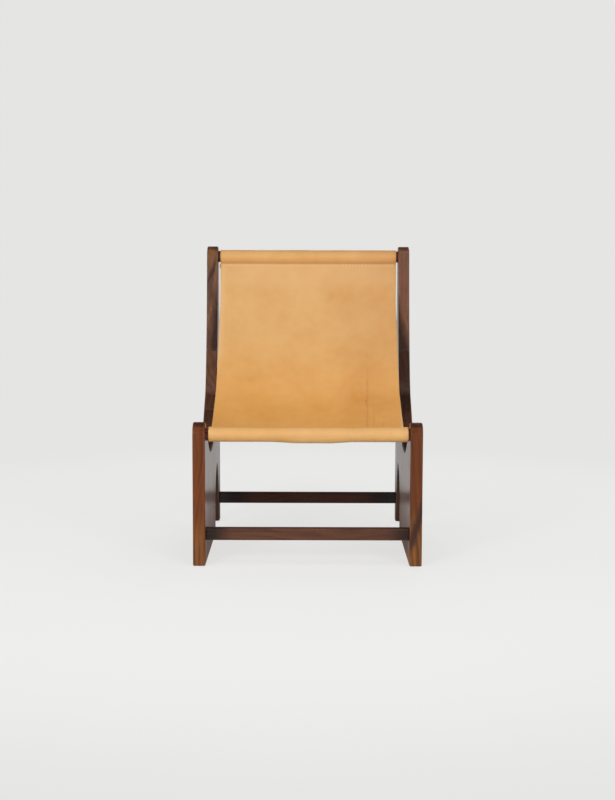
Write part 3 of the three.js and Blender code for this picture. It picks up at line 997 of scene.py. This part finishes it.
# Small rises and dips of the leather, in millimetres off its plain surface
def leatherRelief(across, reach, length, settings):
    fromSeam = min(reach, length - reach)
    free = smooth(fromSeam / settings["calmReach"])
    rise = 0.0
    for depth, width, run, seed in settings["waves"]:
        rise += depth * free * noise.noise(Vector((across / width, reach / run, seed)))
    puckerWidth, puckerRun = settings["puckerSize"]
    seed = 5.7 if reach < length / 2 else 1.3
    pucker = noise.noise(Vector((across / puckerWidth, fromSeam / puckerRun, seed)))
    rise += settings["pucker"] * math.exp(-fromSeam / settings["puckerReach"]) * pucker
    groove = (fromSeam - settings["stitchFromSeam"]) / settings["grooveWidth"]
    rise -= settings["grooveDepth"] * math.exp(-groove * groove)
    here = Vector((across, reach))
    for start, end, depth, width in settings["creases"]:
        start, end = Vector(start), Vector(end)
        run = end - start
        share = min(max((here - start).dot(run) / run.length_squared, 0.0), 1.0)
        bend = settings["creaseWander"] * noise.noise(Vector((start.x, share * 3, 2.0)))
        off = ((here - start - run * share).length + bend) / width
        rise -= depth * math.exp(-off * off) * smooth(share * 4) * smooth((1 - share) * 4)
    margin = settings["width"] / 2 - abs(across)
    rise -= settings["edgeRoll"] * free * (1 - smooth(margin / settings["edgeRollWidth"]))
    return rise


# Stations along the strip: what carries each one, where it is, and its flat length
def slingStations(settings, curve):
    seam, hem = settings["seam"], settings["hem"]
    stack = settings["thickness"] + settings["hemGap"]
    radius = jointSettings["rodRadius"] + settings["clearance"] + settings["thickness"] / 2
    dense = []
    reach = 0.0
    while reach < settings["denseLength"] - 0.1:
        dense.append(reach)
        reach += settings["denseStep"]
    middle = curve.length - 2 * settings["denseLength"]
    count = round(middle / settings["openStep"])
    open_ = [settings["denseLength"] + middle * index / count for index in range(count + 1)]
    sheet = dense + open_ + [curve.length - value for value in reversed(dense)]
    hems = [hem * index / 10 for index in range(11)]

    def sleeve(centre, top, under, isFront):
        slack = [math.acos(radius / (point - centre).length) for point in (top, under)]
        angles = [math.atan2(*reversed(point - centre)) for point in (top, under)]
        if isFront:
            start, end = angles[1] - slack[1], angles[0] + slack[0]
        else:
            start, end = angles[0] - slack[0], angles[1] + slack[1]
        while start < end:
            start += 2 * math.pi
        first, last = (under, top) if isFront else (top, under)
        rise = centre + alongAngle(start, radius)
        leave = centre + alongAngle(end, radius)
        steps = settings["sleeveSteps"]
        stations = [("line", first.lerp(rise, index / 8)) for index in range(1, 8)]
        for index in range(steps + 1):
            stations.append(("arc", centre, start + (end - start) * index / steps, radius))
        stations += [("line", leave.lerp(last, index / 8)) for index in range(1, 8)]
        return stations

    frontTop, frontUp = curve.at(0)
    backTop, backUp = curve.at(curve.length)
    stations = [("sheet", value, -stack) for value in reversed(hems)]
    stations += sleeve(frontRod, frontTop, frontTop - frontUp * stack, True)
    stations += [("sheet", value, 0.0) for value in sheet]
    stations += sleeve(backRod, backTop, backTop - backUp * stack, False)
    stations += [("sheet", curve.length - value, -stack) for value in hems]
    return stations


# Middle surface of the strip, as rows of points across the chair
def slingSurface(settings, curve, stations):
    width = settings["width"] - 2 * settings["rimBulge"]
    columns = settings["columns"]
    power = math.log(0.5) / math.log(settings["sagPeak"])
    lumpDepth, lumpWidth, lumpTurn = settings["lumps"]
    rows = []
    for station in stations:
        row = []
        for column in range(columns + 1):
            spread = 2 * column / columns - 1
            across = spread * width / 2
            if station[0] == "sheet":
                reach, offset = station[1:]
                share = reach / curve.length
                hang = settings["sag"] * math.sin(math.pi * share ** power)
                rise = leatherRelief(across, reach, curve.length, settings)
                point, up = curve.at(reach)
                point = point + up * (offset + rise - hang * (1 - spread * spread))
                drawn = 1 - 8 / 3 * (hang / width) ** 2
                drawn -= between(settings["drawnIn"], share) * 2 / width
                slide = between(settings["drift"], share)
                if offset and share > 0.5:
                    slide += settings["hemSlide"]
            elif station[0] == "line":
                point, drawn = station[1].copy(), 1.0
                slide = between(settings["drift"], 0.0 if point.x < chairDepth / 2 else 1.0)
            else:
                centre, angle, radius = station[1:]
                isFront = centre.x < chairDepth / 2
                lump = lumpDepth * noise.noise(Vector((across / lumpWidth, angle * lumpTurn, centre.x)))
                if isFront:
                    share = (across - settings["bellyMiddle"]) / settings["bellyHalfWidth"]
                    low = smooth(1 - abs(math.remainder(angle + quarter, 2 * math.pi)) / 1.5)
                    lump += settings["belly"] * low * smooth(1.5 - 1.5 * abs(share))
                point = centre + alongAngle(angle, radius + max(lump, 0.0))
                drawn = 1.0
                slide = between(settings["drift"], 0.0 if isFront else 1.0)
            row.append(Vector((across * drawn + slide, *point)))
        rows.append(row)
    return rows


# Ease the folds where the strip leaves a seam, so that they bend as thick leather does
def easeFolds(rows, stations, passes):
    kinds = [station[0] for station in stations]
    folds = [index for index in range(1, len(kinds))
             if {kinds[index - 1], kinds[index]} == {"sheet", "line"}]
    for turn in range(passes):
        for fold in folds:
            for column in range(len(rows[0])):
                fresh = {}
                for index in range(fold - 4, fold + 4):
                    before, here, after = (rows[index + step][column] for step in (-1, 0, 1))
                    fresh[index] = (before + here * 2 + after) / 4
                for index, point in fresh.items():
                    rows[index][column] = point


def surfaceNormals(rows):
    normals = []
    for index, row in enumerate(rows):
        before, after = rows[max(index - 1, 0)], rows[min(index + 1, len(rows) - 1)]
        line = []
        for column in range(len(row)):
            sideways = row[min(column + 1, len(row) - 1)] - row[max(column - 1, 0)]
            line.append(sideways.cross(after[column] - before[column]).normalized())
        normals.append(line)
    return normals


def makeSling(settings):
    curve = HangingCurve(settings)
    stations = slingStations(settings, curve)
    rows = slingSurface(settings, curve, stations)
    easeFolds(rows, stations, settings["creaseRound"])
    normals = surfaceNormals(rows)
    half = settings["thickness"] / 2
    middle = settings["columns"] // 2
    lengths = [0.0]
    for one, two in zip(rows, rows[1:]):
        lengths.append(lengths[-1] + (two[middle] - one[middle]).length)

    rimAngles = [math.pi * step / 4 for step in (1, 2, 3)]
    verts, flats, rims, fleshes = [], [], [], []

    def addVert(point, across, length, rim, flesh):
        verts.append(inChair(*point))
        flats.extend((across * mm, length * mm, 0.0))
        rims.append(rim)
        fleshes.append(flesh)

    for row, line, length in zip(rows, normals, lengths):
        count = len(row) - 1
        flat = [(2 * column / count - 1) * settings["width"] / 2 for column in range(count + 1)]
        for column in range(count + 1):
            addVert(row[column] + line[column] * half, flat[column], length, 0.0, 0.0)
        outward = (row[count] - row[count - 1]).normalized() * settings["rimBulge"]
        for angle in rimAngles:
            offset = line[count] * half * math.cos(angle) + outward * math.sin(angle)
            addVert(row[count] + offset, flat[count], length, 1.0, 0.5)
        for column in range(count, -1, -1):
            addVert(row[column] - line[column] * half, flat[column], length, 0.0, 1.0)
        outward = (row[0] - row[1]).normalized() * settings["rimBulge"]
        for angle in reversed(rimAngles):
            offset = line[0] * half * math.cos(angle) + outward * math.sin(angle)
            addVert(row[0] + offset, flat[0], length, 1.0, 0.5)

    ring = len(verts) // len(rows)
    faces = []
    for index in range(len(rows) - 1):
        here, there = index * ring, (index + 1) * ring
        for step in range(ring):
            after = (step + 1) % ring
            faces.append((here + step, here + after, there + after, there + step))
    top = settings["columns"] + 1
    for start, flip in ((0, False), ((len(rows) - 1) * ring, True)):
        across = top + len(rimAngles)
        caps = [(start + step, start + across + top - 1 - step,
                 start + across + top - 2 - step, start + step + 1) for step in range(top - 1)]
        caps.append(tuple(start + top - 1 + step for step in range(len(rimAngles) + 2)))
        caps.append(tuple(start + (across + top - 1 + step) % ring
                          for step in range(len(rimAngles) + 2)))
        faces += [tuple(reversed(cap)) if flip else cap for cap in caps]

    mesh = bpy.data.meshes.new("saddle_leather_sling")
    mesh.from_pydata(verts, [], faces)
    mesh.attributes.new("flat", "FLOAT_VECTOR", "POINT").data.foreach_set("vector", flats)
    mesh.attributes.new("cutEdge", "FLOAT", "POINT").data.foreach_set("value", rims)
    mesh.attributes.new("flesh", "FLOAT", "POINT").data.foreach_set("value", fleshes)
    mesh.polygons.foreach_set("use_smooth", [True] * len(mesh.polygons))
    bm = bmesh.new()
    bm.from_mesh(mesh)
    bmesh.ops.recalc_face_normals(bm, faces=bm.faces)
    bm.to_mesh(mesh)
    bm.free()
    piece = bpy.data.objects.new("saddle_leather_sling", mesh)
    scene.collection.objects.link(piece)
    return piece, rows, normals, stations, lengths


# The station that a seam's stitches lie on, in the sheet itself or in its hem
def stitchStation(settings, stations, atFront, isHem):
    length = max(station[1] for station in stations if station[0] == "sheet")
    wanted = settings["stitchFromSeam"] if atFront else length - settings["stitchFromSeam"]
    matching = [index for index, station in enumerate(stations)
                if station[0] == "sheet" and (station[2] != 0) == isHem]
    return min(matching, key=lambda index: abs(stations[index][1] - wanted))


# How many stitches from the first to the last of a row
def stitchCount(settings):
    return int((settings["width"] - 2 * settings["stitchEdge"]) / settings["stitchPitch"])


# Waxed thread, half sunk in the leather, on both faces of a seam
def makeStitches(name, settings, rows, normals, stations, material, atFront):
    half = settings["width"] / 2
    count = stitchCount(settings)
    bm = bmesh.new()
    for isHem in (False, True):
        index = stitchStation(settings, stations, atFront, isHem)
        row, line = rows[index], normals[index]
        for number in range(count + 1):
            across = (number - count / 2) * settings["stitchPitch"]
            place = (across + half) / settings["width"] * settings["columns"]
            column = int(place)
            point = row[column].lerp(row[column + 1], place - column)
            normal = line[column].lerp(line[column + 1], place - column).normalized()
            along = (row[column + 1] - row[column]).normalized()
            over = normal.cross(along).normalized()
            centre = inChair(*(point + normal * (settings["thickness"] / 2 + settings["stitchLift"])))
            turn = Matrix((along, over, normal)).transposed().to_4x4()
            thick = settings["stitchRadius"] * mm
            length = settings["stitchLength"] / 2 * mm
            size = Matrix.Diagonal((length, thick, thick * settings["stitchFlat"], 1))
            lean = Matrix.Rotation(settings["stitchLean"], 4, "Z")
            lying = Matrix.Rotation(quarter, 4, "Y")
            bmesh.ops.create_uvsphere(
                bm, u_segments=8, v_segments=6, radius=1.0,
                matrix=Matrix.Translation(centre) @ turn @ lean @ size @ lying)
    return addMesh(name, bm, material, 80.0)


leatherSettings = {
    "pale": "e6b474",
    "tan": "dda560",
    "deep": "cf904b",
    "edge": "e9c698",
    "edgeShare": 0.75,
    "flesh": "dcb78a",
    "nap": "c69864",
    "napTone": (0.4, 0.8),
    "cloudSize": 0.11,
    "blotchSize": 0.032,
    "speckSize": 0.0045,
    "fibreSize": 0.0011,
    "toneShares": (0.75, 0.35, 0.14),
    "tanTone": (0.35, 0.9),
    "deepTone": (0.7, 1.15),
    # Painted shade over the seat: the tint, and where it starts and ends along the strip
    "seat": (1.05, 0.935, 0.69, 1.0),
    "seatStart": (0.0, 0.04),
    "seatEnd": (0.62, 0.27),
    # Painted shade in the folds at the seams, on the sleeves beside them, and partly in the pulled creases
    "creaseShade": "9a6130",
    "foldShadeShare": 0.42,
    "foldShadeReach": (0.017, 0.001),
    # A paler tone high on the back, also used on one edge as a partly painted highlight
    "paleAndHighlight": "eec492",
    "paleTopShare": 0.22,
    "paleTopStart": (-0.1, -0.05),
    "paleTopDrift": 0.06,
    "paleLitEdge": (-0.257, -0.275),
    "paleLitEdgeStart": (0.4, 0.5),
    "paleLitEdgeShare": 0.35,
    # Painted shade over most of one half of the strip, the half farther from the stronger lamp
    "sideShade": "f8f3f2",
    "sideShadeStart": (0.14, 0.32),
    "sideShadeAcross": (0.02, 0.2),
    "sideShadeDrift": 0.16,
    "waver": 0.014,
    "pulls": (
        (0.17, 0.0, 0.186, 0.46, 0.0046, 0.42),
        (0.188, -0.02, 0.2, 0.3, 0.0034, 0.3),
        (0.215, 0.0, 0.228, 0.24, 0.0036, 0.26),
        (-0.205, 0.03, -0.225, 0.24, 0.004, 0.2),
    ),
    # Painted shade inside the needle holes
    "hole": "7a4a22",
    "holeRadius": (0.0012, 0.0006),
    "holeShare": 0.6,
    "roughness": 0.5,
    "patchRoughness": 0.16,
    "fleshRoughness": 0.3,
    "specular": 0.4,
    "pebbleSize": 0.0013,
    "wrinkleSize": 0.0075,
    "pebble": 0.00016,
}


def makeLeather(name, settings, sling, seams):
    material, tree, shader = newMaterial(name, settings["roughness"], settings["specular"])
    flat = attribute(tree, "flat", "Vector")
    cut = attribute(tree, "cutEdge")
    flesh = attribute(tree, "flesh")
    cloud = noiseNode(tree, flat, settings["cloudSize"], (1, 1.4, 1), 3.0)
    blotch = noiseNode(tree, flat, settings["blotchSize"], (1, 1, 1), 4.0)
    speck = noiseNode(tree, flat, settings["speckSize"], (1, 1, 1), 3.0)
    cloudShare, blotchShare, speckShare = settings["toneShares"]
    tone = timesPlus(tree, blotch, blotchShare, times(tree, cloud, cloudShare))
    tone = timesPlus(tree, speck, speckShare, tone)
    pale, tan = hexColour(settings["pale"]), hexColour(settings["tan"])
    base = mixColour(tree, softStep(tree, tone, *settings["tanTone"]), pale, tan)
    base = mixColour(tree, softStep(tree, tone, *settings["deepTone"]), base, hexColour(settings["deep"]))

    # Painted shade over the seat, deeper and more saturated; paler high on the back and along one edge of it
    parts = splitVector(tree, flat)
    across, along = parts["X"], parts["Y"]
    first, last = seams["folds"]

    def fromFront(reach):
        return (along, first + reach[0], first + reach[1])

    seatShade = softSteps(tree, fromFront(settings["seatStart"]), fromFront(settings["seatEnd"]))
    base = mixColour(tree, seatShade, base, settings["seat"], "MULTIPLY")
    paleAndHighlight = hexColour(settings["paleAndHighlight"])
    drift = settings["paleTopDrift"]
    drifted = timesPlus(tree, cloud, drift, minus(tree, along, last + drift / 2))
    high = softSteps(tree, (drifted, *settings["paleTopStart"]), (along, last + 0.004, last))
    base = mixColour(tree, times(tree, high, settings["paleTopShare"]), base, paleAndHighlight)
    # Painted shade: most of one half of the strip is a little darker, away from the stronger lamp
    drift = settings["sideShadeDrift"]
    drifted = timesPlus(tree, cloud, drift, minus(tree, across, drift / 2))
    sideShade = softSteps(tree, (drifted, *settings["sideShadeAcross"]), fromFront(settings["sideShadeStart"]))
    base = mixColour(tree, sideShade, base, hexColour(settings["sideShade"]), "MULTIPLY")
    # A paler band along one edge of the back: partly paler leather, partly a painted highlight where that
    # edge catches the light
    edge = softSteps(tree, (across, *settings["paleLitEdge"]), fromFront(settings["paleLitEdgeStart"]),
                     (along, last, last - 0.03))
    base = mixColour(tree, times(tree, edge, settings["paleLitEdgeShare"]), base, paleAndHighlight)

    # Pulled lines in the grain, each from one place on the strip to another, darkened partly as
    # painted shade in their creases, and painted shade in the folds at both seams and on the sleeve beside
    # each
    creaseShade = hexColour(settings["creaseShade"])
    waver = timesPlus(tree, blotch, settings["waver"], -settings["waver"] / 2)
    for x, y, farX, farY, half, depth in settings["pulls"]:
        lean = (farX - x) / (farY - y)
        off = timesPlus(tree, along, -lean, mathNode(tree, "ADD", across, waver))
        off = mathNode(tree, "ABSOLUTE", minus(tree, off, x - lean * (y + first)))
        pull = softSteps(tree, (off, half, 0.0), fromFront((y, y + 0.05)), fromFront((farY, farY - 0.08)))
        pull = times(tree, pull, times(tree, blotch, depth))
        base = mixColour(tree, pull, base, creaseShade)
    for fold, facing in zip(seams["folds"], (-1, 1)):
        off = times(tree, minus(tree, along, fold), facing)
        shade = softSteps(tree, (off, -0.0025, 0.0), (off, *settings["foldShadeReach"]))
        base = mixColour(tree, times(tree, shade, settings["foldShadeShare"]), base, creaseShade)

    # Needle holes along both seams, painted dark as the shade inside each hole
    pitch = sling["stitchPitch"] * mm
    wrapped = mathNode(tree, "PINGPONG", mathNode(tree, "ADD", across, seams["shift"]), pitch / 2)
    squared = times(tree, wrapped, wrapped)
    holes = None
    for seam in seams["lines"]:
        off = minus(tree, along, seam)
        far = mathNode(tree, "SQRT", timesPlus(tree, off, off, squared))
        hole = softStep(tree, far, *settings["holeRadius"])
        holes = hole if holes is None else mathNode(tree, "MAXIMUM", holes, hole)
    base = mixColour(tree, times(tree, holes, settings["holeShare"]), base, hexColour(settings["hole"]))

    # The flesh side, and the cut edges
    fibre = noiseNode(tree, flat, settings["fibreSize"], (1, 2.2, 1), 4.0)
    napTone = timesPlus(tree, blotch, 0.3, times(tree, fibre, 0.9))
    smoothFlesh, raisedNap = hexColour(settings["flesh"]), hexColour(settings["nap"])
    nap = mixColour(tree, softStep(tree, napTone, *settings["napTone"]), smoothFlesh, raisedNap)
    isFlesh = softStep(tree, flesh, 0.6, 0.9)
    base = mixColour(tree, isFlesh, base, nap)
    isCut = times(tree, softStep(tree, cut, 0.1, 0.7), settings["edgeShare"])
    base = mixColour(tree, isCut, base, hexColour(settings["edge"]))

    # Pebbled grain, finer on the flesh side, with a dip at each hole
    cells = addNode(tree, "ShaderNodeTexVoronoi", {"feature": "SMOOTH_F1"}, {
        "Vector": flat, "Scale": 1 / settings["pebbleSize"], "Smoothness": 0.6}).outputs["Distance"]
    wrinkle = addNode(tree, "ShaderNodeTexVoronoi", {"feature": "DISTANCE_TO_EDGE"}, {
        "Vector": flat, "Scale": 1 / settings["wrinkleSize"]}).outputs["Distance"]
    height = times(tree, cells, -0.7)
    height = timesPlus(tree, mathNode(tree, "MINIMUM", wrinkle, 0.12), 1.6, height)
    height = timesPlus(tree, speck, 0.8, height)
    height = timesPlus(tree, times(tree, isFlesh, fibre), 2.0, height)
    height = timesPlus(tree, holes, -3.0, height)
    patchy = settings["patchRoughness"]
    rough = timesPlus(tree, blotch, patchy, settings["roughness"] - patchy / 2)
    feed(tree, shader, {
        "Base Color": base,
        "Roughness": timesPlus(tree, isFlesh, settings["fleshRoughness"], rough),
        "Normal": bumpNode(tree, height, settings["pebble"]),
    })
    return material


threadSettings = {"light": "f8e8c2", "dark": "e0c594", "roughness": 0.6, "twist": 0.0009}


def makeThread(settings):
    material, tree, shader = newMaterial("waxed thread", settings["roughness"])
    here = objectPlace(tree)
    wave = addNode(tree, "ShaderNodeTexWave", {"bands_direction": "DIAGONAL"}, {
        "Vector": here, "Scale": 0.314 / settings["twist"], "Distortion": 1.0}).outputs["Fac"]
    colour = mixColour(tree, wave, hexColour(settings["dark"]), hexColour(settings["light"]))
    feed(tree, shader, {"Base Color": colour})
    return material


# Where the stitches and the folds are on the strip as it lies flat, in metres
def seamPlaces(settings, stations, lengths):
    lines = [lengths[stitchStation(settings, stations, atFront, isHem)] * mm
             for isHem in (False, True) for atFront in (True, False)]
    sheet = [length * mm for station, length in zip(stations, lengths)
             if station[0] == "sheet" and station[2] == 0]
    shift = settings["stitchPitch"] / 2 * mm if stitchCount(settings) % 2 == 0 else 0.0
    return {"lines": lines, "folds": (sheet[0], sheet[-1]), "shift": shift}


sling, slingRows, slingNormals, stationList, slingLengths = makeSling(slingSettings)
seams = seamPlaces(slingSettings, stationList, slingLengths)
sling.data.materials.append(makeLeather("saddle leather", leatherSettings, slingSettings, seams))
threadMaterial = makeThread(threadSettings)
stitches = [
    makeStitches(f"{word}_seam_stitches", slingSettings, slingRows, slingNormals, stationList,
                 threadMaterial, word == "front")
    for word in ("front", "back")
]
fit(sling, "leather_sling")
for row in stitches:
    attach(row, "root")


# Floor, background and lights

stageSettings = {
    "grey": "e5e5e4",
    "floorWidth": 400.0,
    "floorPaint": 0.28,
    "floorLift": 1.17,
    "bounce": 0.75,
    "paintReach": (2.2, 0.9),
    "skyStrength": 0.42,
    "unlit": 0.06,
}

white = (1.0, 1.0, 1.0)
warmWhite = (1.0, 0.99, 0.97)
smallLamp = (0.9, 1.1)
wideLamp = (2.4, 1.6)
lampSettings = {
    "left softbox": {"place": (-1.75, -3.3, 1.4), "size": smallLamp, "power": 52.0, "colour": warmWhite},
    "right softbox": {"place": (1.75, -3.3, 1.4), "size": smallLamp, "power": 34.0, "colour": warmWhite},
    "top softbox": {"place": (0.0, -1.6, 3.4), "size": wideLamp, "power": 14.0, "colour": white},
    "back softbox": {"place": (0.6, 3.4, 2.0), "size": wideLamp, "power": 32.0, "colour": white},
}
lampAim = Vector((0, 0, 0.45))


def isSeenThrough(tree):
    path = addNode(tree, "ShaderNodeLightPath").outputs
    seen = mathNode(tree, "MAXIMUM", path["Is Camera Ray"], path["Is Glossy Ray"])
    return mathNode(tree, "MAXIMUM", seen, path["Is Transmission Ray"])


# The backdrop is behind the chair, and the rest of the studio is unlit in reflections
def makeStage(settings):
    grey = hexColour(settings["grey"])
    world = bpy.data.worlds.new("studio")
    scene.world = world
    world.use_nodes = True
    tree = world.node_tree
    tree.nodes.clear()
    towards = addNode(tree, "ShaderNodeTexCoord").outputs["Generated"]
    parts = splitVector(tree, towards)
    lit = softSteps(tree, (parts["Y"], 0.0, 0.6), (parts["Z"], 0.6, 0.25))
    reflected = mixColour(tree, lit, shaded(grey, settings["unlit"]), grey)
    path = addNode(tree, "ShaderNodeLightPath").outputs
    direct = mathNode(tree, "MAXIMUM", path["Is Camera Ray"], path["Is Transmission Ray"])
    seen = mixColour(tree, direct, reflected, grey)
    sky = addNode(tree, "ShaderNodeBackground", None, {
        "Color": (1.0, 1.0, 1.0, 1.0), "Strength": settings["skyStrength"]})
    backdrop = addNode(tree, "ShaderNodeBackground", None, {"Color": seen, "Strength": 1.0})
    mix = addNode(tree, "ShaderNodeMixShader", None, {
        0: isSeenThrough(tree), 1: sky.outputs[0], 2: backdrop.outputs[0]})
    tree.links.new(mix.outputs[0], addNode(tree, "ShaderNodeOutputWorld").inputs["Surface"])

    bm = bmesh.new()
    bmesh.ops.create_grid(bm, x_segments=1, y_segments=1, size=settings["floorWidth"] / 2)
    floorMaterial = bpy.data.materials.new("studio floor")
    floorMaterial.use_nodes = True
    tree = floorMaterial.node_tree
    tree.nodes.clear()
    here = objectPlace(tree)
    away = addNode(tree, "ShaderNodeVectorMath", {"operation": "LENGTH"}, {0: here}).outputs["Value"]
    near = softStep(tree, away, *settings["paintReach"])
    painted = times(tree, near, settings["floorPaint"])
    seen = isSeenThrough(tree)
    colour = mixColour(tree, seen, shaded(grey, settings["bounce"]), grey)
    paint = addNode(tree, "ShaderNodeBsdfDiffuse", None, {"Color": colour})
    glow = addNode(tree, "ShaderNodeEmission", None, {
        "Color": mixColour(tree, near, grey, shaded(grey, settings["floorLift"])), "Strength": 1.0})
    share = times(tree, seen, minus(tree, 1.0, painted))
    mix = addNode(tree, "ShaderNodeMixShader", None, {0: share, 1: paint.outputs[0], 2: glow.outputs[0]})
    tree.links.new(mix.outputs[0], addNode(tree, "ShaderNodeOutputMaterial").inputs["Surface"])
    addMesh("floor", bm, floorMaterial)


def makeLamps(settings):
    for name, lamp in settings.items():
        data = bpy.data.lights.new(name, "AREA")
        data.shape = "RECTANGLE"
        data.size, data.size_y = lamp["size"]
        data.energy = lamp["power"]
        data.color = lamp["colour"]
        light = bpy.data.objects.new(name, data)
        light.location = lamp["place"]
        light.visible_camera = False
        light.rotation_euler = (lampAim - light.location).to_track_quat("-Z", "Y").to_euler()
        scene.collection.objects.link(light)


makeStage(stageSettings)
makeLamps(lampSettings)
scene.view_settings.view_transform = "Standard"
print("stage and lamps set")
